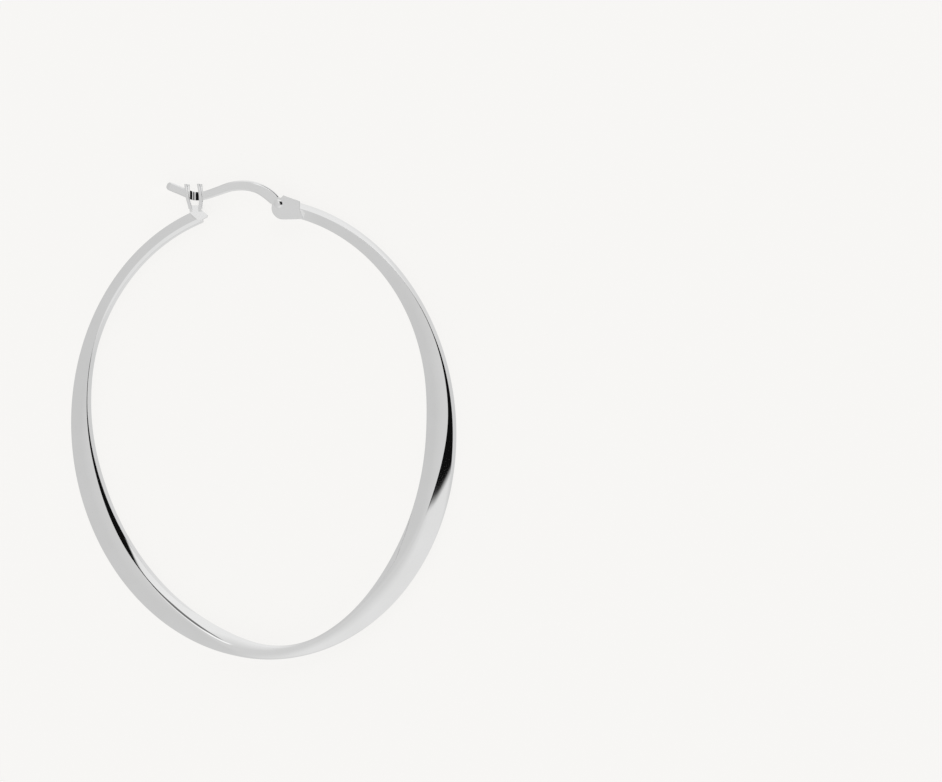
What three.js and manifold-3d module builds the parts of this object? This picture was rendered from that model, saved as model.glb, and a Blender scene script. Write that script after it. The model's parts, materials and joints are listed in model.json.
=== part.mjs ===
// Hoop earring in polished silver: an upright oval hoop that twists as it goes round, closed at the top by a
// wire for the ear. The wire swings on a rivet in a fork on one end of the hoop and clicks into a catch on the
// other end. Millimetres. The hoop lies on its back: X across, Y towards the top of the oval, +Z up.

import * as THREE from 'three';
import { mergeVertices } from 'three/addons/utils/BufferGeometryUtils.js';
import Module from 'manifold-3d';

// The oval that the hoop's outer edge follows
const OVAL_HALF_WIDTH = 19.25;
const OVAL_HALF_HEIGHT = 23.12;
const OVAL_LEAN_DEG = 4.15;
const OVAL_CENTRE = { x: 0, y: -0.85 };

// Everything is built about the middle of its thickness, which stands this far above the surface it lies on
const MID_HEIGHT = 0.95;

// The hoop's section has four corners. Two are listed here, and the other two are the same two turned half a
// turn about the section's middle. Angle runs round the oval from its right side, towards the top. Width is the
// band's width seen from the front. A corner's depth is measured in from the outer edge, its rise up from the
// middle. Crown is how far each side bows out, as a share of its own width. The first rows are inside the fork.
const HOOP_SECTIONS = [
  { angle: 76, width: 1.56, innerDepth: 0.58, innerRise: 0.50, outerDepth: 0, outerRise: 0, crown: 0.04 },
  { angle: 60, width: 1.56, innerDepth: 0.55, innerRise: 0.50, outerDepth: 0, outerRise: 0, crown: 0.04 },
  { angle: 45, width: 1.64, innerDepth: 0.50, innerRise: 0.51, outerDepth: 0, outerRise: 0, crown: 0.04 },
  { angle: 30, width: 1.90, innerDepth: 0.40, innerRise: 0.55, outerDepth: 0, outerRise: 0, crown: 0.05 },
  { angle: 15, width: 2.37, innerDepth: 0.48, innerRise: 0.63, outerDepth: 0, outerRise: -0.02, crown: 0.08 },
  { angle: 0, width: 2.95, innerDepth: 0.76, innerRise: 0.72, outerDepth: 0, outerRise: -0.08, crown: 0.09 },
  { angle: -10, width: 3.15, innerDepth: 1.22, innerRise: 0.80, outerDepth: 0, outerRise: -0.20, crown: 0.09 },
  { angle: -20, width: 3.24, innerDepth: 1.68, innerRise: 0.88, outerDepth: 0, outerRise: -0.22, crown: 0.09 },
  { angle: -30, width: 3.22, innerDepth: 1.93, innerRise: 0.92, outerDepth: 0, outerRise: -0.14, crown: 0.09 },
  { angle: -40, width: 3.11, innerDepth: 2.12, innerRise: 0.93, outerDepth: 0, outerRise: 0, crown: 0.09 },
  { angle: -50, width: 2.80, innerDepth: 2.30, innerRise: 0.93, outerDepth: 0, outerRise: 0.12, crown: 0.09 },
  { angle: -60, width: 2.35, innerDepth: 2.20, innerRise: 0.93, outerDepth: 0, outerRise: 0.25, crown: 0.09 },
  { angle: -70, width: 1.84, innerDepth: 1.80, innerRise: 0.90, outerDepth: 0, outerRise: 0.40, crown: 0.09 },
  { angle: -80, width: 1.38, innerDepth: 1.38, innerRise: 0.86, outerDepth: 0, outerRise: 0.58, crown: 0.09 },
  { angle: -88, width: 1.31, innerDepth: 1.31, innerRise: 0.82, outerDepth: 0, outerRise: 0.72, crown: 0.09 },
  { angle: -96, width: 1.55, innerDepth: 1.55, innerRise: 0.75, outerDepth: 0.02, outerRise: 0.82, crown: 0.09 },
  { angle: -104, width: 2.05, innerDepth: 2.05, innerRise: 0.58, outerDepth: 0.30, outerRise: 0.86, crown: 0.09 },
  { angle: -112, width: 2.42, innerDepth: 2.42, innerRise: 0.40, outerDepth: 1.02, outerRise: 0.91, crown: 0.09 },
  { angle: -120, width: 2.68, innerDepth: 2.68, innerRise: 0.20, outerDepth: 1.58, outerRise: 0.92, crown: 0.09 },
  { angle: -130, width: 2.88, innerDepth: 2.88, innerRise: 0.08, outerDepth: 1.93, outerRise: 0.88, crown: 0.09 },
  { angle: -140, width: 2.98, innerDepth: 2.98, innerRise: 0.02, outerDepth: 2.10, outerRise: 0.85, crown: 0.09 },
  { angle: -150, width: 2.95, innerDepth: 2.95, innerRise: 0, outerDepth: 2.10, outerRise: 0.82, crown: 0.09 },
  { angle: -160, width: 2.84, innerDepth: 2.84, innerRise: 0, outerDepth: 2.10, outerRise: 0.80, crown: 0.09 },
  { angle: -170, width: 2.62, innerDepth: 2.62, innerRise: 0, outerDepth: 2.02, outerRise: 0.77, crown: 0.09 },
  { angle: -180, width: 2.28, innerDepth: 2.28, innerRise: 0, outerDepth: 1.80, outerRise: 0.72, crown: 0.09 },
  { angle: -192, width: 1.90, innerDepth: 1.90, innerRise: 0, outerDepth: 1.48, outerRise: 0.66, crown: 0.06 },
  { angle: -206, width: 1.54, innerDepth: 1.54, innerRise: 0, outerDepth: 1.10, outerRise: 0.58, crown: 0.04 },
  { angle: -225, width: 1.44, innerDepth: 1.44, innerRise: 0, outerDepth: 0.92, outerRise: 0.54, crown: 0.04 },
  { angle: -255.4, width: 1.46, innerDepth: 1.46, innerRise: 0, outerDepth: 0.90, outerRise: 0.52, crown: 0.04 },
];
const HOOP_STEPS = 120;
const SIDE_PARTS = 4;

// The fork that carries the rivet: a block with a rounded nose and a slot for the eye of the wire
const PIN_X = 1.45;
const PIN_Y = 21.58;
const FORK = { noseX: 1.90, noseY: 21.15, noseRadius: 1.10, noseSweepDeg: 130, slotHalfGap: 0.36, slotEndX: 2.60 };
const FORK_CORNERS = [
  { x: 1.66, y: 22.08 },
  { x: 1.97, y: 22.43 },
  { x: 3.62, y: 21.84 },
  { x: 3.62, y: 20.96 },
  { x: 3.95, y: 20.10 },
];
const NOSE_STEPS = 8;

// The rivet: a straight shaft, flush at the back and domed at the front
const PIN_RADIUS = 0.26;
const PIN_HOLE_RADIUS = 0.31;
const PIN_HEAD = { radius: 0.44, height: 0.13, gap: 0.02 };
const ROUND_SIDES = 24;

// The wire through the ear: its eye, and its way from the rivet over the arch and through the catch to the tip.
// Width is seen from the front, thickness from the side.
const EYE = { radius: 0.66, thickness: 0.60 };
const WIRE_SECTIONS = [
  { x: 1.15, y: 21.90, width: 1.04, thickness: 0.58 },
  { x: 0.78, y: 22.28, width: 1.12, thickness: 0.60 },
  { x: 0.10, y: 22.80, width: 1.10, thickness: 0.66 },
  { x: -0.70, y: 23.20, width: 1.02, thickness: 0.74 },
  { x: -1.80, y: 23.43, width: 0.98, thickness: 0.78 },
  { x: -3.20, y: 23.33, width: 0.92, thickness: 0.80 },
  { x: -4.60, y: 22.86, width: 0.86, thickness: 0.80 },
  { x: -5.70, y: 22.49, width: 0.83, thickness: 0.80 },
  { x: -6.60, y: 22.34, width: 0.82, thickness: 0.80 },
  { x: -7.30, y: 22.46, width: 0.82, thickness: 0.80 },
  { x: -7.95, y: 22.76, width: 0.82, thickness: 0.80 },
  { x: -9.64, y: 23.47, width: 0.80, thickness: 0.80 },
];
const WIRE_SIDES = 12;
const WIRE_STEPS = 44;
const TIP_ROUNDING = 0.36;

// Notches filed across the front of the wire where it clicks into the catch: each one's middle along X and width
const WIRE_NOTCHES = [
  { x: -7.24, width: 0.23 },
  { x: -6.97, width: 0.11 },
  { x: -6.63, width: 0.32 },
];
const NOTCH_CUT = { y0: 21.7, y1: 23.0, floor: 1.22, top: 1.6 };

// The catch: two upright walls folded up from a foot. Each wall is notched from the top for the wire, which
// leaves a prong in front of the wire and a prong behind it.
const CATCH = { halfDepth: 0.95, notchHalfGap: 0.53, notchFloorY: 21.80, footSlopeDeg: 20 };
// How far the prongs lean by the top of the catch, front ones to the left and back ones to the right
const PRONG_SPLAY = { lean: 0.10, fromY: 22, toY: 23.5 };
// A space wide enough for any cut through the catch
const ROUND_CATCH = { x0: -9, x1: -5, y0: 19, y1: 25 };
const CATCH_LEFT_WALL = [
  { x: -7.31, y: 21.10, thickness: 0.35 },
  { x: -7.37, y: 21.40, thickness: 0.34 },
  { x: -7.55, y: 21.95, thickness: 0.32 },
  { x: -7.64, y: 22.70, thickness: 0.30 },
  { x: -7.67, y: 23.55, thickness: 0.26 },
];
const CATCH_RIGHT_WALL = [
  { x: -6.35, y: 21.10, thickness: 0.35 },
  { x: -6.32, y: 21.35, thickness: 0.34 },
  { x: -6.26, y: 21.95, thickness: 0.32 },
  { x: -6.30, y: 22.70, thickness: 0.30 },
  { x: -6.42, y: 23.58, thickness: 0.26 },
];
const CATCH_FOOT = [
  { x: -7.42, y: 21.42 },
  { x: -6.24, y: 21.42 },
  { x: -6.26, y: 21.02 },
  { x: -5.60, y: 20.46 },
  { x: -5.66, y: 20.26 },
  { x: -6.45, y: 19.84 },
  { x: -7.36, y: 20.66 },
];

const SILVER = { color: 0xd6d7d8, roughness: 0.08, metalness: 1 };

const wasm = await Module();
wasm.setup();

// ---- helpers: solids from closed geometries, and geometries back from solids ----

function solidOf(geometry) {
  const bare = geometry.clone();
  bare.deleteAttribute('normal');
  bare.deleteAttribute('uv');
  const merged = mergeVertices(bare, 1e-5);
  const vertProperties = new Float32Array(merged.attributes.position.array);
  const triVerts = new Uint32Array(merged.index.array);
  return new wasm.Manifold(new wasm.Mesh({ numProp: 3, vertProperties, triVerts }));
}

function meshOf(name, solid) {
  const { vertProperties, triVerts } = solid.getMesh();
  const geometry = new THREE.BufferGeometry();
  geometry.setAttribute('position', new THREE.BufferAttribute(new Float32Array(vertProperties), 3));
  geometry.setIndex(new THREE.BufferAttribute(new Uint32Array(triVerts), 1));
  geometry.computeVertexNormals();
  const mesh = new THREE.Mesh(geometry, new THREE.MeshStandardMaterial(SILVER));
  mesh.name = name;
  return mesh;
}

// A bar with a changing section: a closed cylinder whose rings are moved to their places.
// ringPoint(along, around) gives a point for along and around from 0 to 1.
function bar(sides, steps, ringPoint) {
  const geometry = new THREE.CylinderGeometry(1, 1, 1, sides, steps);
  const position = geometry.attributes.position;
  for (let i = 0; i < position.count; i += 1) {
    const x = position.getX(i);
    const z = position.getZ(i);
    const along = position.getY(i) + 0.5;
    const onCap = Math.hypot(x, z) < 0.5;
    const around = ((Math.atan2(x, z) / (2 * Math.PI)) + 1) % 1;
    const point = onCap ? capMiddle(along, sides, ringPoint) : ringPoint(along, around);
    position.setXYZ(i, point.x, point.y, point.z);
  }
  return solidOf(geometry);
}

function capMiddle(along, sides, ringPoint) {
  const middle = new THREE.Vector3();
  for (let k = 0; k < sides; k += 1) middle.add(ringPoint(along, k / sides));
  return middle.divideScalar(sides);
}

// A smooth run through the rows of a table: every named column as a curve of the row's place from 0 to 1
function smoothColumns(rows, columns) {
  const curves = {};
  for (const column of columns) {
    const points = rows.map((row, i) => new THREE.Vector3(i, row[column], 0));
    curves[column] = new THREE.CatmullRomCurve3(points, false, 'catmullrom', 0.5);
  }
  return (t) => {
    const values = {};
    for (const column of columns) values[column] = curves[column].getPoint(t).y;
    return values;
  };
}

// An upright plate: an outline seen from the front, with a thickness about the middle
function plate(outline, halfThickness) {
  const shape = new THREE.Shape(outline.map((p) => new THREE.Vector2(p.x, p.y)));
  const depth = 2 * halfThickness;
  const geometry = new THREE.ExtrudeGeometry(shape, { depth, bevelEnabled: false });
  geometry.translate(0, 0, MID_HEIGHT - halfThickness);
  return solidOf(geometry);
}

function block(x0, x1, y0, y1, z0, z1) {
  const geometry = new THREE.BoxGeometry(x1 - x0, y1 - y0, z1 - z0);
  geometry.translate((x0 + x1) / 2, (y0 + y1) / 2, (z0 + z1) / 2);
  return solidOf(geometry);
}

function rod(x, y, z0, z1, radius) {
  const geometry = new THREE.CylinderGeometry(radius, radius, z1 - z0, ROUND_SIDES);
  geometry.rotateX(Math.PI / 2);
  geometry.translate(x, y, (z0 + z1) / 2);
  return solidOf(geometry);
}

// ---- the hoop ----

// A point of the oval and the direction square to it, outwards
function ovalPlace(angleDeg) {
  const angle = THREE.MathUtils.degToRad(angleDeg);
  const lean = THREE.MathUtils.degToRad(OVAL_LEAN_DEG);
  const edge = new THREE.Vector2(OVAL_HALF_WIDTH * Math.cos(angle), OVAL_HALF_HEIGHT * Math.sin(angle));
  const out = new THREE.Vector2(Math.cos(angle) / OVAL_HALF_WIDTH, Math.sin(angle) / OVAL_HALF_HEIGHT);
  const middle = new THREE.Vector2(0, 0);
  edge.rotateAround(middle, lean).add(new THREE.Vector2(OVAL_CENTRE.x, OVAL_CENTRE.y));
  out.normalize().rotateAround(middle, lean);
  return { edge, out };
}

// A point of the section, out from its middle and up from it: four sides, each a little crowned
function sectionPoint(section, around) {
  const half = section.width / 2;
  const inner = new THREE.Vector2(half - section.innerDepth, section.innerRise);
  const outer = new THREE.Vector2(half - section.outerDepth, section.outerRise);
  const corners = [inner, outer, inner.clone().negate(), outer.clone().negate()];
  const place = (around * 4) % 4;
  const side = Math.floor(place + 1e-6);
  const part = place - side;
  const from = corners[side % 4];
  const to = corners[(side + 1) % 4];
  const chord = to.clone().sub(from);
  const bulge = 4 * section.crown * part * (1 - part);
  return new THREE.Vector2(
    from.x + chord.x * part - chord.y * bulge,
    from.y + chord.y * part + chord.x * bulge,
  );
}

// The crowned section drawn in so that it is as wide as its table says
function fittedPoint(section, around) {
  let reach = 0;
  for (let k = 0; k < 4 * SIDE_PARTS; k += 1) {
    reach = Math.max(reach, sectionPoint(section, k / (4 * SIDE_PARTS)).x);
  }
  const point = sectionPoint(section, around);
  point.x *= section.width / 2 / reach;
  return point;
}

function hoopBand() {
  const columns = ['angle', 'width', 'innerDepth', 'innerRise', 'outerDepth', 'outerRise', 'crown'];
  const sectionAt = smoothColumns(HOOP_SECTIONS, columns);
  return bar(4 * SIDE_PARTS, HOOP_STEPS, (along, around) => {
    const section = sectionAt(1 - along);
    const { edge, out } = ovalPlace(section.angle);
    const point = fittedPoint(section, around);
    const reach = point.x - section.width / 2;
    return new THREE.Vector3(edge.x + out.x * reach, edge.y + out.y * reach, MID_HEIGHT + point.y);
  });
}

// The slot that the eye of the wire turns in, cut well past the block's nose, top and bottom
function forkSlot() {
  return block(0, FORK.slotEndX, FORK.noseY - 2, FORK.noseY + 3, MID_HEIGHT - FORK.slotHalfGap,
    MID_HEIGHT + FORK.slotHalfGap);
}

function rivetHole() {
  return rod(PIN_X, PIN_Y, -1, 2 * MID_HEIGHT + 1, PIN_HOLE_RADIUS);
}

function fork() {
  const nose = [];
  for (let i = 0; i <= NOSE_STEPS; i += 1) {
    const angle = THREE.MathUtils.degToRad(270 - (FORK.noseSweepDeg * i) / NOSE_STEPS);
    nose.push({
      x: FORK.noseX + FORK.noseRadius * Math.cos(angle),
      y: FORK.noseY + FORK.noseRadius * Math.sin(angle),
    });
  }
  return plate([...nose, ...FORK_CORNERS], MID_HEIGHT).subtract(forkSlot()).subtract(rivetHole());
}

// A catch wall seen from the front is a strip along its table; prongs splay to left and right above the notch
function catchWall(rows, shift) {
  const left = rows.map((row) => ({ x: row.x - row.thickness / 2 + shift(row.y), y: row.y }));
  const right = rows.map((row) => ({ x: row.x + row.thickness / 2 + shift(row.y), y: row.y }));
  return plate([...left, ...right.reverse()], CATCH.halfDepth);
}

function snapCatch() {
  const { x0, x1, y0, y1 } = ROUND_CATCH;
  const { lean, fromY, toY } = PRONG_SPLAY;
  const splayed = (direction) => (y) => direction * lean * Math.max(0, (y - fromY) / (toY - fromY));
  const front = block(x0, x1, y0, y1, MID_HEIGHT, 2 * MID_HEIGHT + 1);
  const notch = block(x0, x1, CATCH.notchFloorY, y1, MID_HEIGHT - CATCH.notchHalfGap,
    MID_HEIGHT + CATCH.notchHalfGap);
  // The front of the foot slopes back from its lowest corner up to the walls
  const lowestY = Math.min(...CATCH_FOOT.map((corner) => corner.y));
  const slope = block(x0, x1, 0, y1 - y0, 0, 2 * MID_HEIGHT)
    .rotate([-CATCH.footSlopeDeg, 0, 0])
    .translate([0, lowestY, MID_HEIGHT + CATCH.halfDepth]);
  let body = plate(CATCH_FOOT, CATCH.halfDepth).subtract(slope);
  for (const rows of [CATCH_LEFT_WALL, CATCH_RIGHT_WALL]) {
    const frontHalf = catchWall(rows, splayed(-1)).intersect(front);
    const backHalf = catchWall(rows, splayed(1)).subtract(front);
    body = body.add(frontHalf).add(backHalf);
  }
  return body.subtract(notch);
}

function hoop() {
  return meshOf('hoop', hoopBand().subtract(forkSlot()).add(fork()).add(snapCatch()));
}

// ---- the rivet ----

function hingePin() {
  const front = 2 * MID_HEIGHT + PIN_HEAD.gap;
  const profile = [new THREE.Vector2(0, 0), new THREE.Vector2(PIN_RADIUS, 0), new THREE.Vector2(PIN_RADIUS, front)];
  const domeSteps = 4;
  for (let i = 0; i < domeSteps; i += 1) {
    const angle = (Math.PI / 2) * (i / domeSteps);
    profile.push(new THREE.Vector2(PIN_HEAD.radius * Math.cos(angle), front + PIN_HEAD.height * Math.sin(angle)));
  }
  profile.push(new THREE.Vector2(0, front + PIN_HEAD.height));
  const geometry = new THREE.LatheGeometry(profile, ROUND_SIDES);
  geometry.rotateX(Math.PI / 2);
  geometry.translate(PIN_X, PIN_Y, 0);
  return meshOf('hinge_pin', solidOf(geometry));
}

// ---- the ear wire ----

function earWire() {
  const wireAt = smoothColumns(WIRE_SECTIONS, ['x', 'y', 'width', 'thickness']);
  const arm = bar(WIRE_SIDES, WIRE_STEPS, (along, around) => {
    const here = wireAt(along);
    const ahead = wireAt(Math.min(1, along + 0.005));
    const behind = wireAt(Math.max(0, along - 0.005));
    const way = new THREE.Vector2(ahead.x - behind.x, ahead.y - behind.y).normalize();
    const fromTip = Math.hypot(here.x - WIRE_SECTIONS.at(-1).x, here.y - WIRE_SECTIONS.at(-1).y);
    const rounding = fromTip < TIP_ROUNDING ? Math.sqrt(1 - (1 - fromTip / TIP_ROUNDING) ** 2 * 0.85) : 1;
    const angle = 2 * Math.PI * around;
    const side = (here.width / 2) * rounding * Math.cos(angle);
    const up = (here.thickness / 2) * rounding * Math.sin(angle);
    return new THREE.Vector3(here.x - way.y * side, here.y + way.x * side, MID_HEIGHT + up);
  });
  const eye = rod(PIN_X, PIN_Y, MID_HEIGHT - EYE.thickness / 2, MID_HEIGHT + EYE.thickness / 2, EYE.radius);
  let wire = arm.add(eye).subtract(rivetHole());
  for (const { x, width } of WIRE_NOTCHES) {
    const { y0, y1, floor, top } = NOTCH_CUT;
    wire = wire.subtract(block(x - width / 2, x + width / 2, y0, y1, floor, top));
  }
  return meshOf('ear_wire', wire);
}

const earring = new THREE.Group();
earring.add(hoop());
earring.add(hingePin());
earring.add(earWire());

export default earring;
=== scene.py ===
import json
import math

import bmesh
import bpy
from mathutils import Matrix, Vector

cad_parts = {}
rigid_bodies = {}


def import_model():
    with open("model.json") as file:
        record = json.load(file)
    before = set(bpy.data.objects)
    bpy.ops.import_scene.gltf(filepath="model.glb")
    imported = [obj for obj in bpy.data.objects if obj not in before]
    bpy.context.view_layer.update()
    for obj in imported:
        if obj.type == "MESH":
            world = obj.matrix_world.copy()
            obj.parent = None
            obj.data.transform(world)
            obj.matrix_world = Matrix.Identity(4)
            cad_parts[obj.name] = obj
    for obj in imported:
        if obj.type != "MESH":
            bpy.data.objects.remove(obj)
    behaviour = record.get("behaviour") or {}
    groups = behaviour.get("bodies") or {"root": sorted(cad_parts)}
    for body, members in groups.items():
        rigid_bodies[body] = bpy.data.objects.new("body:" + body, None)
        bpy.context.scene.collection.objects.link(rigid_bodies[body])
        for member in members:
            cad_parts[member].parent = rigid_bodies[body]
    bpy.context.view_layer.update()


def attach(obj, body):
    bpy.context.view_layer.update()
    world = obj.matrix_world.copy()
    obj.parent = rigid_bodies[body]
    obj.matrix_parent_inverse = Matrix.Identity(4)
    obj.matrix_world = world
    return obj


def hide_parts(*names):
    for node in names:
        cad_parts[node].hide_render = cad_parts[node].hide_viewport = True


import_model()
MM = 0.001


# ---- The camera ----
# It hangs straight over the bench with a long lens, so the earring lying below shows its true outline. The
# earring lies left of the middle, because its twin would lie on the right.
CAMERA_PLACE = (20.7 * MM, 2.9 * MM, 800 * MM)
VIEW_WIDTH = 94.2 * MM
SENSOR_WIDTH = 36.0

camera_data = bpy.data.cameras.new("camera")
camera_data.sensor_width = SENSOR_WIDTH
camera_data.lens = SENSOR_WIDTH * CAMERA_PLACE[2] / VIEW_WIDTH
camera_data.clip_start = 0.01
camera_data.clip_end = 10
camera = bpy.data.objects.new("camera", camera_data)
camera.location = CAMERA_PLACE
bpy.context.scene.collection.objects.link(camera)
bpy.context.scene.camera = camera
bpy.context.scene.view_settings.view_transform = "Standard"


# ---- The paper ----
# A plain sheet of pale matt paper that the earring lies on, evenly lit through from below so that the
# earring casts next to no shadow.
PAPER_SIZE = 1.6
PAPER_DROP = 0.01 * MM
PAPER_COLOUR = (0.925, 0.915, 0.900, 1)


def deselect_all():
    for thing in bpy.context.view_layer.objects:
        thing.select_set(False)


def grey(level):
    """A grey named by its brightness on screen, 0 to 255, as light."""
    return ((level / 255 + 0.055) / 1.055) ** 2.4


deselect_all()
bpy.ops.mesh.primitive_plane_add(size=PAPER_SIZE, location=(0, 0, -PAPER_DROP))
paper = bpy.context.object
paper.name = "paper"

paper_finish = bpy.data.materials.new("pale_paper")
paper_finish.use_nodes = True
paper_look = paper_finish.node_tree.nodes["Principled BSDF"]
paper_look.inputs["Roughness"].default_value = 0.9
paper_look.inputs["Specular IOR Level"].default_value = 0.0
paper_look.inputs["Base Color"].default_value = (0.20, 0.20, 0.195, 1)
paper_look.inputs["Emission Color"].default_value = PAPER_COLOUR
paper_look.inputs["Emission Strength"].default_value = 0.884
paper.data.materials.append(paper_finish)
paper.visible_glossy = False


# ---- The light ----
# A white tent round the bench, a little grey on the left and overhead and lighter at the front and back. It
# is open on the right, where the dark room shows, with a bright lamp edge and a shutter beside the opening.
# The silver mirrors all of it.
TENT_TOP = 207
# Level of the tent by the way that it is seen, in degrees round from the right towards the back
TENT_SIDES = [
    (-180, 199), (-115, 202), (-95, 214), (-70, 224), (-20, 222), (30, 226), (46, 232), (90, 232), (110, 204),
    (180, 199),
]
BENCH_SIDES = [
    (-180, 199), (-110, 203), (-80, 214), (-35, 218), (-12, 207), (10, 206), (40, 219), (60, 229), (92, 229),
    (112, 204),
    (180, 199),
]
# Each opening or shutter: its level, how far from straight up it begins and ends, and the ways of its front and
# back edges, each at its top and at its bottom
TENT_PATCHES = [
    ("shutter", 112, 19, 48, (41, 41), (68, 50)),
    ("lamp edge", 250, 6, 16, (44, 44), (75, 75)),
    ("dark room", 14, 17, 89.5, (-21, -9.3), (48, 29.6)),
]
EDGE_FADE = 1.2

tent = bpy.data.worlds.new("light_tent")
bpy.context.scene.world = tent
tent.use_nodes = True
tent_nodes = tent.node_tree.nodes
tent_links = tent.node_tree.links
tent_nodes.clear()


def tent_node(kind, **settings):
    node = tent_nodes.new(kind)
    for key, value in settings.items():
        setattr(node, key, value)
    return node


def stops(rows, source):
    """A colour ramp whose stops are the rows of place and level."""
    node = tent_node("ShaderNodeValToRGB")
    elements = node.color_ramp.elements
    while len(elements) < len(rows):
        elements.new(0.5)
    for element, (place, level) in zip(elements, rows):
        element.position = place
    for element, (place, level) in zip(elements, rows):
        element.color = (level, level, level, 1)
    tent_links.new(source, node.inputs[0])
    return node.outputs["Color"]


def blended(share, first, second):
    """The first colour where the share is nought, the second where it is one."""
    node = tent_node("ShaderNodeMix", data_type="RGBA")
    tent_links.new(share, node.inputs["Factor"])
    for value, socket in ((first, node.inputs["A"]), (second, node.inputs["B"])):
        if isinstance(value, tuple):
            socket.default_value = value
        else:
            tent_links.new(value, socket)
    return node.outputs["Result"]


def between(source, low, high, first=0, second=1, clamp=True):
    """The source's way from low to high, as a way from first to second."""
    node = tent_node("ShaderNodeMapRange", clamp=clamp)
    tent_links.new(source, node.inputs["Value"])
    for name, value in zip(("From Min", "From Max", "To Min", "To Max"), (low, high, first, second)):
        node.inputs[name].default_value = value
    return node.outputs[0]


def maths(operation, first, second=None):
    node = tent_node("ShaderNodeMath", operation=operation)
    tent_links.new(first, node.inputs[0])
    if second is not None:
        tent_links.new(second, node.inputs[1])
    return node.outputs[0]


way = tent_node("ShaderNodeTexCoord")
split = tent_node("ShaderNodeSeparateXYZ")
tent_links.new(way.outputs["Generated"], split.inputs[0])
turn = between(maths("ARCTAN2", split.outputs["Y"], split.outputs["X"]), -math.pi, math.pi, -180, 180)
fall = between(maths("ARCCOSINE", split.outputs["Z"]), 0, math.pi, 0, 180)
turn_share = between(turn, -180, 180)
sides = stops([(degrees / 360 + 0.5, grey(level)) for degrees, level in TENT_SIDES], turn_share)
bench = stops([(degrees / 360 + 0.5, grey(level)) for degrees, level in BENCH_SIDES], turn_share)
seen_light = blended(between(fall, 85, 95), sides, bench)
top_light = (grey(TENT_TOP), grey(TENT_TOP), grey(TENT_TOP), 1)
seen_light = blended(between(fall, 40, 10), seen_light, top_light)
for name, level, top, bottom, front_edge, back_edge in TENT_PATCHES:
    past_front = maths("SUBTRACT", turn, between(fall, top, bottom, *front_edge, clamp=False))
    before_back = maths("SUBTRACT", between(fall, top, bottom, *back_edge, clamp=False), turn)
    share = maths("MULTIPLY", between(past_front, -EDGE_FADE, EDGE_FADE), between(before_back, -EDGE_FADE, EDGE_FADE))
    for edge in (between(fall, top - EDGE_FADE, top + EDGE_FADE), between(fall, bottom + EDGE_FADE, bottom - EDGE_FADE)):
        share = maths("MULTIPLY", share, edge)
    seen_light = blended(share, seen_light, (grey(level), grey(level), grey(level), 1))
direct = tent_node("ShaderNodeLightPath")
seen_light = blended(direct.outputs["Is Camera Ray"], seen_light, PAPER_COLOUR)
glow = tent_node("ShaderNodeBackground")
glow.inputs["Strength"].default_value = 1.03
tent_links.new(seen_light, glow.inputs["Color"])
tent_out = tent_node("ShaderNodeOutputWorld")
tent_links.new(glow.outputs[0], tent_out.inputs[0])


# ---- The hoop's band ----
# A solid bar of silver with a four-sided, slightly crowned section, forged round an oval and twisted as it
# goes, so that the broad side faces front on the right and turns outwards on the left. It is mirror polished.
OVAL_HALF_WIDTH = 19.25
OVAL_HALF_HEIGHT = 23.12
OVAL_LEAN = math.radians(4.15)
OVAL_CENTRE = (0, -0.85)
MID_HEIGHT = 0.95
# Going round from under the fork to under the catch. Each section has four corners: two are listed, and the
# other two lie opposite them. Depth is measured in from the outer edge, rise up from the middle of the
# thickness, ease is how far the rounding of a front ridge runs into its sides, all in millimetres. Crown is how far each
# side bows out, as a share of its own width.
SECTION_COLUMNS = ("angle", "width", "inner_depth", "inner_rise", "outer_depth", "outer_rise", "ease", "crown")
BAND_SECTIONS = [
    (76, 1.56, 0.58, 0.50, 0, 0, 0.08, 0.04),
    (60, 1.56, 0.55, 0.50, 0, 0, 0.08, 0.04),
    (45, 1.64, 0.50, 0.51, 0, 0, 0.06, 0.04),
    (30, 1.90, 0.40, 0.55, 0, 0, 0.05, 0.05),
    (15, 2.37, 0.48, 0.63, 0, -0.02, 0.05, 0.08),
    (0, 2.95, 0.76, 0.72, 0, -0.08, 0.06, 0.09),
    (-10, 3.15, 1.22, 0.80, 0, -0.20, 0.06, 0.09),
    (-20, 3.24, 1.68, 0.88, 0, -0.22, 0.08, 0.09),
    (-30, 3.22, 1.93, 0.92, 0, -0.14, 0.25, 0.09),
    (-40, 3.11, 2.12, 0.93, 0, 0, 0.40, 0.09),
    (-50, 2.80, 2.30, 0.93, 0, 0.12, 0.40, 0.09),
    (-60, 2.35, 2.20, 0.93, 0, 0.25, 0.30, 0.09),
    (-70, 1.84, 1.80, 0.90, 0, 0.40, 0.20, 0.09),
    (-80, 1.38, 1.38, 0.86, 0, 0.58, 0.15, 0.09),
    (-88, 1.31, 1.31, 0.82, 0, 0.72, 0.15, 0.09),
    (-96, 1.55, 1.55, 0.75, 0.02, 0.82, 0.25, 0.09),
    (-104, 2.05, 2.05, 0.58, 0.30, 0.86, 0.35, 0.09),
    (-112, 2.42, 2.42, 0.40, 1.02, 0.91, 0.30, 0.09),
    (-120, 2.68, 2.68, 0.20, 1.58, 0.92, 0.32, 0.09),
    (-130, 2.88, 2.88, 0.08, 1.93, 0.88, 0.22, 0.09),
    (-140, 2.98, 2.98, 0.02, 2.10, 0.85, 0.09, 0.09),
    (-150, 2.95, 2.95, 0, 2.10, 0.82, 0.06, 0.09),
    (-160, 2.84, 2.84, 0, 2.10, 0.80, 0.06, 0.09),
    (-170, 2.62, 2.62, 0, 2.02, 0.77, 0.06, 0.09),
    (-180, 2.28, 2.28, 0, 1.80, 0.72, 0.07, 0.09),
    (-192, 1.90, 1.90, 0, 1.48, 0.66, 0.07, 0.06),
    (-206, 1.54, 1.54, 0, 1.10, 0.58, 0.05, 0.04),
    (-225, 1.44, 1.44, 0, 0.92, 0.54, 0.07, 0.04),
    (-255.4, 1.46, 1.46, 0, 0.90, 0.52, 0.07, 0.04),
]
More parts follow.
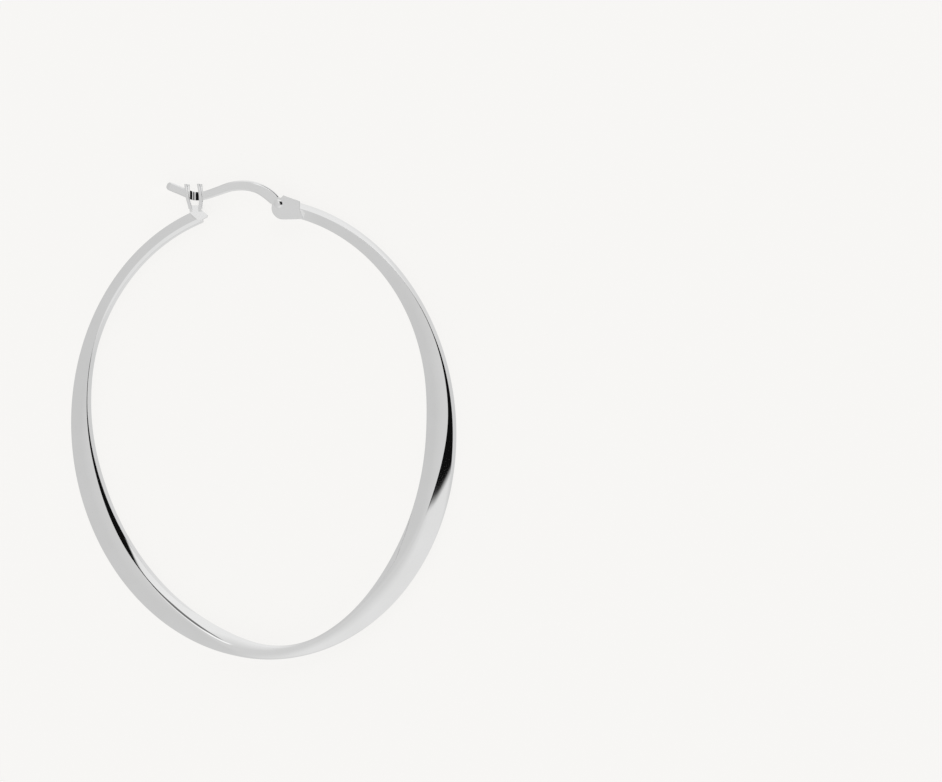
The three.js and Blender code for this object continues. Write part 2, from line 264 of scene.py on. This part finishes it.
BAND_STEP = 4.5
CRISP_END = 0.4
EDGE_EASE = 0.07


def smooth_row(rows, place):
    """The row at a place between rows, on a smooth curve through all of them."""
    last = len(rows) - 1
    first = min(int(place), last - 1)
    share = place - first
    here, after = rows[first], rows[first + 1]
    before = rows[first - 1] if first > 0 else [2 * a - b for a, b in zip(here, after)]
    beyond = rows[first + 2] if first + 2 <= last else [2 * b - a for a, b in zip(here, after)]
    row = []
    for p0, p1, p2, p3 in zip(before, here, after, beyond):
        v0, v1 = (p2 - p0) / 2, (p3 - p1) / 2
        row.append((2 * p1 - 2 * p2 + v0 + v1) * share ** 3 + (3 * p2 - 3 * p1 - 2 * v0 - v1) * share ** 2
                   + v0 * share + p1)
    return row


def section_at(angle):
    """The hoop's section at an angle round the oval, which the table's first column gives."""
    low, high = 0, len(BAND_SECTIONS) - 1
    for _ in range(40):
        middle = (low + high) / 2
        if smooth_row(BAND_SECTIONS, middle)[0] > angle:
            low = middle
        else:
            high = middle
    return dict(zip(SECTION_COLUMNS, smooth_row(BAND_SECTIONS, low)))


def oval_place(angle):
    """A point on the oval that the outer edge follows, and the direction square to it, outwards."""
    round_way = math.radians(angle)
    edge = Vector((OVAL_HALF_WIDTH * math.cos(round_way), OVAL_HALF_HEIGHT * math.sin(round_way), 0))
    out = Vector((math.cos(round_way) / OVAL_HALF_WIDTH, math.sin(round_way) / OVAL_HALF_HEIGHT, 0)).normalized()
    lean = Vector((math.cos(OVAL_LEAN), math.sin(OVAL_LEAN)))

    def leaning(v):
        return Vector((v.x * lean.x - v.y * lean.y, v.x * lean.y + v.y * lean.x, 0))

    return leaning(edge) + Vector((*OVAL_CENTRE, 0)), leaning(out)


def band_ring(angle):
    """The section's corners and the points between them, placed on the oval."""
    section = section_at(angle)
    half = section["width"] / 2
    inner = Vector((half - section["inner_depth"], section["inner_rise"]))
    outer = Vector((half - section["outer_depth"], section["outer_rise"]))
    corners = [inner, outer, -inner, -outer]
    ridge_first = outer.y < inner.y
    eases = [section["ease"] if ridge_first == (k % 2 == 0) else EDGE_EASE for k in range(4)]
    flat = []
    for k in range(4):
        start, end = corners[k], corners[(k + 1) % 4]
        chord = end - start
        near = min(eases[k] / chord.length, 0.25)
        far = 1 - min(eases[(k + 1) % 4] / chord.length, 0.25)
        for share in (0, near, 0.33, 0.67, far):
            bulge = 4 * section["crown"] * share * (1 - share)
            flat.append(Vector((start.x + chord.x * share - chord.y * bulge,
                                start.y + chord.y * share + chord.x * bulge)))
    reach = max(p.x for p in flat)
    edge, out = oval_place(angle)
    ring = []
    for p in flat:
        spot = edge + out * (p.x * half / reach - half)
        ring.append(Vector((spot.x, spot.y, MID_HEIGHT + p.y)) * MM)
    return ring


def drawn_bar(name, rings):
    """A flat blank the shape of the first ring, drawn out and shaped ring by ring."""
    deselect_all()
    count = len(rings[0])
    bpy.ops.mesh.primitive_circle_add(vertices=count, radius=MM, fill_type="NGON", location=(0, 0, 0))
    piece = bpy.context.object
    piece.name = piece.data.name = name
    bpy.ops.object.mode_set(mode="EDIT")
    bpy.ops.mesh.select_mode(type="VERT")
    for step, ring in enumerate(rings):
        if step:
            bpy.ops.mesh.extrude_region_move(TRANSFORM_OT_translate={"value": (0, 0, MM)})
        mesh = bmesh.from_edit_mesh(piece.data)
        end = [v.index for v in mesh.verts if v.select]
        bpy.ops.mesh.select_all(action="DESELECT")
        for index, spot in zip(end, ring):
            mesh = bmesh.from_edit_mesh(piece.data)
            mesh.verts.ensure_lookup_table()
            corner = mesh.verts[index]
            corner.select = True
            bpy.ops.transform.translate(value=spot - corner.co)
            mesh = bmesh.from_edit_mesh(piece.data)
            mesh.verts.ensure_lookup_table()
            mesh.verts[index].select = False
        mesh = bmesh.from_edit_mesh(piece.data)
        mesh.verts.ensure_lookup_table()
        for index in end:
            mesh.verts[index].select = True
        mesh.select_flush(True)
    bpy.ops.mesh.select_all(action="SELECT")
    bpy.ops.mesh.normals_make_consistent(inside=False)
    bpy.ops.object.mode_set(mode="OBJECT")
    return piece


def smoothed(piece, levels):
    """The piece with its surface subdivided smooth."""
    modifier = piece.modifiers.new("smooth", "SUBSURF")
    modifier.levels = modifier.render_levels = levels
    bpy.context.view_layer.objects.active = piece
    bpy.ops.object.modifier_apply(modifier=modifier.name)
    return piece


def polished_edges(piece, degrees):
    """Smooth shading, with edges sharper than the angle left crisp."""
    deselect_all()
    piece.select_set(True)
    bpy.context.view_layer.objects.active = piece
    bpy.ops.object.shade_smooth_by_angle(angle=math.radians(degrees))


def silver(name, gloss, line_way, line_height):
    """Polished silver: a bright metal whose gloss varies a little, with very fine polishing lines."""
    finish = bpy.data.materials.new(name)
    finish.use_nodes = True
    nodes, links = finish.node_tree.nodes, finish.node_tree.links
    look = nodes["Principled BSDF"]
    look.inputs["Metallic"].default_value = 1.0
    place = nodes.new("ShaderNodeTexCoord")
    cloud = nodes.new("ShaderNodeTexNoise")
    cloud.inputs["Scale"].default_value = 350
    cloud.inputs["Detail"].default_value = 3
    links.new(place.outputs["Object"], cloud.inputs["Vector"])
    shine = nodes.new("ShaderNodeMapRange")
    shine.inputs["To Min"].default_value = gloss[0]
    shine.inputs["To Max"].default_value = gloss[1]
    links.new(cloud.outputs["Fac"], shine.inputs["Value"])
    links.new(shine.outputs[0], look.inputs["Roughness"])
    tint = nodes.new("ShaderNodeValToRGB")
    tint.color_ramp.elements[0].position = 0.3
    tint.color_ramp.elements[0].color = (0.945, 0.945, 0.940, 1)
    tint.color_ramp.elements[1].position = 0.7
    tint.color_ramp.elements[1].color = (0.970, 0.970, 0.968, 1)
    links.new(cloud.outputs["Fac"], tint.inputs[0])
    links.new(tint.outputs["Color"], look.inputs["Base Color"])
    stretch = nodes.new("ShaderNodeMapping")
    stretch.inputs["Scale"].default_value = line_way
    links.new(place.outputs["Object"], stretch.inputs["Vector"])
    lines = nodes.new("ShaderNodeTexNoise")
    lines.inputs["Scale"].default_value = 1
    lines.inputs["Detail"].default_value = 2
    links.new(stretch.outputs["Vector"], lines.inputs["Vector"])
    relief = nodes.new("ShaderNodeBump")
    relief.inputs["Strength"].default_value = 0.06
    relief.inputs["Distance"].default_value = line_height
    links.new(lines.outputs["Fac"], relief.inputs["Height"])
    links.new(relief.outputs["Normal"], look.inputs["Normal"])
    return finish


first_angle, last_angle = BAND_SECTIONS[0][0], BAND_SECTIONS[-1][0]
band_steps = round((first_angle - last_angle) / BAND_STEP)
band_angles = [first_angle + (last_angle - first_angle) * k / band_steps for k in range(band_steps + 1)]
band_angles[1:1] = [first_angle - CRISP_END]
band_angles[-1:-1] = [last_angle + CRISP_END]
band_rings = [band_ring(angle) for angle in band_angles]
band = smoothed(drawn_bar("hoop_band", band_rings), 2)
polished_edges(band, 50)
mirror_silver = silver("mirror_polished_silver", (0.03, 0.07), (3000, 3000, 9000), 0.002 * MM)
band.data.materials.append(mirror_silver)
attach(band, "hoop")
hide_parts("hoop")


# ---- The fork of the hinge ----
# A small silver block soldered on the right end of the band. Its nose is rounded, a slot is sawn into it for
# the eye of the ear wire, and a hole goes through both cheeks for the rivet.
NOSE_CENTRE = (1.90, 21.15)
NOSE_RADIUS = 1.10
NOSE_STEPS = 14
FORK_CORNERS = [(1.66, 22.08), (1.97, 22.43), (3.62, 21.84), (3.62, 20.96), (3.95, 20.10)]
FORK_HALF_THICKNESS = 0.95
FORK_SLOT_HALF_GAP = 0.36
FORK_SLOT_END = 2.60
RIVET_PLACE = (1.45, 21.58)
RIVET_HOLE_RADIUS = 0.31


def thick_blank(name, outline, low, high):
    """A blank cut to an outline seen from the front, and thickened upwards. In millimetres."""
    deselect_all()
    bpy.ops.mesh.primitive_circle_add(vertices=len(outline), radius=MM, fill_type="NGON",
                                      location=(0, 0, low * MM))
    piece = bpy.context.object
    piece.name = piece.data.name = name
    bpy.ops.object.transform_apply(location=True, rotation=True, scale=True)
    bpy.ops.object.mode_set(mode="EDIT")
    bpy.ops.mesh.select_mode(type="VERT")
    for index, (x, y) in enumerate(outline):
        bpy.ops.mesh.select_all(action="DESELECT")
        mesh = bmesh.from_edit_mesh(piece.data)
        mesh.verts.ensure_lookup_table()
        corner = mesh.verts[index]
        corner.select = True
        bpy.ops.transform.translate(value=Vector((x * MM, y * MM, low * MM)) - corner.co)
    bpy.ops.mesh.select_all(action="SELECT")
    bpy.ops.mesh.extrude_region_move(TRANSFORM_OT_translate={"value": (0, 0, (high - low) * MM)})
    bpy.ops.mesh.select_all(action="SELECT")
    bpy.ops.mesh.normals_make_consistent(inside=False)
    bpy.ops.object.mode_set(mode="OBJECT")
    return piece


def block(low, high, turned=0, tilted=0):
    """A plain block between two corners, in millimetres, turned about Z and tilted about its own length."""
    deselect_all()
    size = [(b - a) * MM for a, b in zip(low, high)]
    middle = [(a + b) / 2 * MM for a, b in zip(low, high)]
    bpy.ops.mesh.primitive_cube_add(size=1, location=middle, rotation=(0, tilted, turned), scale=size)
    bpy.ops.object.transform_apply(location=True, rotation=True, scale=True)
    return bpy.context.object


def round_bar(place, low, high, radius, sides=48):
    """A round bar standing up from the bench, in millimetres."""
    deselect_all()
    bpy.ops.mesh.primitive_cylinder_add(vertices=sides, radius=radius * MM, depth=(high - low) * MM,
                                        location=(place[0] * MM, place[1] * MM, (low + high) / 2 * MM))
    bpy.ops.object.transform_apply(location=True, rotation=True, scale=True)
    return bpy.context.object


def worked(piece, tool, operation):
    """The piece cut with another, soldered to another, or kept where the two meet. The other is used up."""
    modifier = piece.modifiers.new(operation.lower(), "BOOLEAN")
    modifier.operation = operation
    modifier.object = tool
    bpy.context.view_layer.objects.active = piece
    bpy.ops.object.modifier_apply(modifier=modifier.name)
    bpy.data.objects.remove(tool)
    return piece


def eased(piece, width, segments=2, degrees=30):
    """The piece with its sharp edges rubbed down, in millimetres."""
    modifier = piece.modifiers.new("eased", "BEVEL")
    modifier.width = width * MM
    modifier.segments = segments
    modifier.limit_method = "ANGLE"
    modifier.angle_limit = math.radians(degrees)
    bpy.context.view_layer.objects.active = piece
    bpy.ops.object.modifier_apply(modifier=modifier.name)
    return piece


def flat_faces(piece):
    """Flat faces shaded flat up to their rounded edges."""
    modifier = piece.modifiers.new("flat faces", "WEIGHTED_NORMAL")
    modifier.keep_sharp = True
    bpy.context.view_layer.objects.active = piece
    bpy.ops.object.modifier_apply(modifier=modifier.name)


nose = []
for k in range(NOSE_STEPS + 1):
    nose_way = math.radians(270 - 130 * k / NOSE_STEPS)
    nose.append((NOSE_CENTRE[0] + NOSE_RADIUS * math.cos(nose_way), NOSE_CENTRE[1] + NOSE_RADIUS * math.sin(nose_way)))
fork = thick_blank("hinge_fork", nose + FORK_CORNERS, MID_HEIGHT - FORK_HALF_THICKNESS,
                   MID_HEIGHT + FORK_HALF_THICKNESS)
fork = worked(fork, block((0, 19, MID_HEIGHT - FORK_SLOT_HALF_GAP),
                          (FORK_SLOT_END, 24, MID_HEIGHT + FORK_SLOT_HALF_GAP)), "DIFFERENCE")
fork = worked(fork, round_bar(RIVET_PLACE, -1, 3, RIVET_HOLE_RADIUS), "DIFFERENCE")
fork = eased(fork, 0.05, 3)
polished_edges(fork, 40)
flat_faces(fork)
tumbled_silver = silver("tumbled_silver", (0.08, 0.16), (9000, 9000, 9000), 0.003 * MM)
fork.data.materials.append(tumbled_silver)
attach(fork, "hoop")
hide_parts("hoop")


# ---- The snap catch ----
# A strip of silver folded up from a foot on the left end of the band into two upright walls. Each wall is
# notched from the top for the wire, which leaves two springy prongs a side, bent a little apart.
CATCH_HALF_DEPTH = 0.95
NOTCH_HALF_GAP = 0.53
NOTCH_FLOOR = 21.80
PRONG_SPLAY = 0.10
FOOT_SLOPE = math.radians(20)
# Going up each wall: its middle, its height and its thickness
CATCH_LEFT_WALL = [
    (-7.31, 21.10, 0.35), (-7.37, 21.40, 0.34), (-7.55, 21.95, 0.32), (-7.64, 22.70, 0.30), (-7.67, 23.55, 0.26),
]
CATCH_RIGHT_WALL = [
    (-6.35, 21.10, 0.35), (-6.32, 21.35, 0.34), (-6.26, 21.95, 0.32), (-6.30, 22.70, 0.30), (-6.42, 23.58, 0.26),
]
CATCH_FOOT = [
    (-7.42, 21.42), (-6.24, 21.42), (-6.26, 21.02), (-5.60, 20.46), (-5.66, 20.26), (-6.45, 19.84), (-7.36, 20.66),
]


def wall_half(name, rows, splay, low, high):
    """The front or the back half of a wall, whose prong leans the way splay says above the notch."""
    def lean(y):
        return splay * PRONG_SPLAY * max(0, (y - 22) / 1.5)

    left = [(x - thick / 2 + lean(y), y) for x, y, thick in rows]
    right = [(x + thick / 2 + lean(y), y) for x, y, thick in rows]
    return thick_blank(name, left + right[::-1], low, high)


catch = thick_blank("snap_catch", CATCH_FOOT, MID_HEIGHT - CATCH_HALF_DEPTH, MID_HEIGHT + CATCH_HALF_DEPTH)
bpy.ops.object.mode_set(mode="EDIT")
bpy.ops.mesh.select_all(action="SELECT")
bpy.ops.mesh.bisect(plane_co=(0, min(y for x, y in CATCH_FOOT) * MM, (MID_HEIGHT + CATCH_HALF_DEPTH) * MM),
                    plane_no=(0, math.sin(FOOT_SLOPE), math.cos(FOOT_SLOPE)), use_fill=True, clear_outer=True)
bpy.ops.object.mode_set(mode="OBJECT")
for rows in (CATCH_LEFT_WALL, CATCH_RIGHT_WALL):
    catch = worked(catch, wall_half("front", rows, -1, MID_HEIGHT - 0.01, MID_HEIGHT + CATCH_HALF_DEPTH), "UNION")
    catch = worked(catch, wall_half("back", rows, 1, MID_HEIGHT - CATCH_HALF_DEPTH, MID_HEIGHT), "UNION")
catch = worked(catch, block((-9, NOTCH_FLOOR, MID_HEIGHT - NOTCH_HALF_GAP),
                            (-5, 25, MID_HEIGHT + NOTCH_HALF_GAP)), "DIFFERENCE")
catch = eased(catch, 0.04, 3)
polished_edges(catch, 40)
flat_faces(catch)
catch.data.materials.append(tumbled_silver)
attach(catch, "hoop")
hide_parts("hoop")


# ---- The rivet ----
# A short silver pin through the fork and the eye of the wire, flush at the back and peened to a low dome at
# the front.
RIVET_RADIUS = 0.26
RIVET_HEAD_RADIUS = 0.44
RIVET_HEAD_HEIGHT = 0.13
RIVET_HEAD_GAP = 0.02

rivet = round_bar(RIVET_PLACE, 0, 2 * FORK_HALF_THICKNESS + RIVET_HEAD_GAP, RIVET_RADIUS)
rivet.name = rivet.data.name = "hinge_rivet"
bpy.ops.object.mode_set(mode="EDIT")
bpy.ops.mesh.select_mode(type="FACE")
bpy.ops.mesh.select_all(action="DESELECT")
mesh = bmesh.from_edit_mesh(rivet.data)
for face in mesh.faces:
    face.select = face.normal.z > 0.9
bmesh.update_edit_mesh(rivet.data)
rivet_middle = (RIVET_PLACE[0] * MM, RIVET_PLACE[1] * MM, (2 * FORK_HALF_THICKNESS + RIVET_HEAD_GAP) * MM)
head_out = RIVET_HEAD_RADIUS / RIVET_RADIUS
bpy.ops.mesh.extrude_region_move(TRANSFORM_OT_translate={"value": (0, 0, 0)})
bpy.ops.transform.resize(value=(head_out, head_out, 1), center_override=rivet_middle)
DOME_STEPS = 6
for k in range(1, DOME_STEPS):
    rise = math.sin(math.pi / 2 * k / DOME_STEPS) - math.sin(math.pi / 2 * (k - 1) / DOME_STEPS)
    shrink = math.cos(math.pi / 2 * k / DOME_STEPS) / math.cos(math.pi / 2 * (k - 1) / DOME_STEPS)
    bpy.ops.mesh.extrude_region_move(TRANSFORM_OT_translate={"value": (0, 0, rise * RIVET_HEAD_HEIGHT * MM)})
    bpy.ops.transform.resize(value=(shrink, shrink, 1), center_override=rivet_middle)
bpy.ops.object.mode_set(mode="OBJECT")
polished_edges(rivet, 40)
rivet.data.materials.append(tumbled_silver)
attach(rivet, "hoop")
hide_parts("hinge_pin")


# ---- The ear wire ----
# Drawn silver wire, hammered flat at one end into the eye for the rivet, bowed over the ear and cranked down
# through the catch to a rounded tip. Where it clicks into the catch, three notches are filed across its front.
EYE_RADIUS = 0.66
EYE_THICKNESS = 0.60
# From the eye to the tip: place, width seen from the front, thickness seen from the side
WIRE_SECTIONS = [
    (1.15, 21.90, 1.04, 0.58), (0.78, 22.28, 1.12, 0.60), (0.10, 22.80, 1.10, 0.66),
    (-0.70, 23.20, 1.02, 0.74), (-1.80, 23.43, 0.98, 0.78), (-3.20, 23.33, 0.92, 0.80),
    (-4.60, 22.86, 0.86, 0.80), (-5.70, 22.49, 0.83, 0.80), (-6.60, 22.34, 0.82, 0.80),
    (-7.30, 22.46, 0.82, 0.80), (-7.95, 22.76, 0.82, 0.80), (-9.68, 23.47, 0.80, 0.80),
]
# Round the wire's section, as shares of half its width and half its thickness: the front and back are flattened
WIRE_OUTLINE = [
    (0, 1.0), (-0.5, 1.0), (-0.88, 0.98), (-1.03, 0.78), (-1.03, 0), (-1.03, -0.78), (-0.88, -0.98), (-0.5, -1.0),
    (0, -1.0), (0.5, -1.0), (0.88, -0.98), (1.03, -0.78), (1.03, 0), (1.03, 0.78), (0.88, 0.98), (0.5, 1.0),
]
WIRE_STEPS = 33
TIP_ROUNDING = 0.36
TIP_PLACES = (0.28, 0.18, 0.08, 0.0)
# Notches filed across the front of the wire, painted near black inside as painted shade for the dark gaps where the
# wire passes into the catch: the middle of each along X, and its width
WIRE_NOTCHES = [(-7.24, 0.23), (-6.97, 0.11), (-6.63, 0.32)]
NOTCH_FLOOR_HEIGHT = 1.22


def wire_ring(place, rounding=1.0):
    """A ring of the wire's outline, square to its run."""
    x, y, width, thickness = smooth_row(WIRE_SECTIONS, place)
    last = len(WIRE_SECTIONS) - 1
    ahead = smooth_row(WIRE_SECTIONS, min(last, place + 0.03))
    behind = smooth_row(WIRE_SECTIONS, max(0, place - 0.03))
    along = Vector((ahead[0] - behind[0], ahead[1] - behind[1])).normalized()
    ring = []
    for side_share, up_share in WIRE_OUTLINE:
        side = width / 2 * rounding * side_share
        up = thickness / 2 * rounding * up_share
        ring.append(Vector((x - along.y * side, y + along.x * side, MID_HEIGHT + up)) * MM)
    return ring


wire_end = len(WIRE_SECTIONS) - 1
tip_length = math.dist(WIRE_SECTIONS[-1][:2], WIRE_SECTIONS[-2][:2])
wire_rings = [wire_ring((wire_end - TIP_ROUNDING / tip_length) * k / WIRE_STEPS) for k in range(WIRE_STEPS + 1)]
for left in TIP_PLACES:
    wire_rings.append(wire_ring(wire_end - left / tip_length,
                                math.sqrt(1 - 0.85 * (1 - left / TIP_ROUNDING) ** 2)))
wire = smoothed(drawn_bar("ear_wire_bow", wire_rings), 2)
eye = round_bar(RIVET_PLACE, MID_HEIGHT - EYE_THICKNESS / 2, MID_HEIGHT + EYE_THICKNESS / 2, EYE_RADIUS)
wire = worked(wire, eye, "UNION")
wire = worked(wire, round_bar(RIVET_PLACE, -1, 3, RIVET_HOLE_RADIUS), "DIFFERENCE")
for middle, width in WIRE_NOTCHES:
    wire = worked(wire, block((middle - width / 2, 21.7, NOTCH_FLOOR_HEIGHT), (middle + width / 2, 23.0, 1.6)),
                  "DIFFERENCE")
polished_edges(wire, 40)
flat_faces(wire)
drawn_silver = silver("drawn_silver_wire", (0.06, 0.12), (2500, 9000, 9000), 0.003 * MM)
wire.data.materials.append(drawn_silver)
# Painted shade: a near-black silver for the insides of the notches, standing in for the shade in the gaps of the catch
notch_painted_shade_silver = silver("silver_painted_shade_black", (0.35, 0.5), (9000, 9000, 9000), 0.003 * MM)
for stop in next(node for node in notch_painted_shade_silver.node_tree.nodes if node.type == "VALTORGB").color_ramp.elements:
    stop.color = (0.012, 0.012, 0.013, 1)
wire.data.materials.append(notch_painted_shade_silver)
# The faces inside the notches take the painted shade
for face in wire.data.polygons:
    spot = face.center / MM
    in_notch = any(abs(spot.x - middle) < width / 2 + 0.005 for middle, width in WIRE_NOTCHES)
    if in_notch and spot.z > NOTCH_FLOOR_HEIGHT - 0.01 and abs(spot.y - 22.4) < 0.6:
        face.material_index = 1
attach(wire, "ear_wire")
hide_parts("ear_wire")
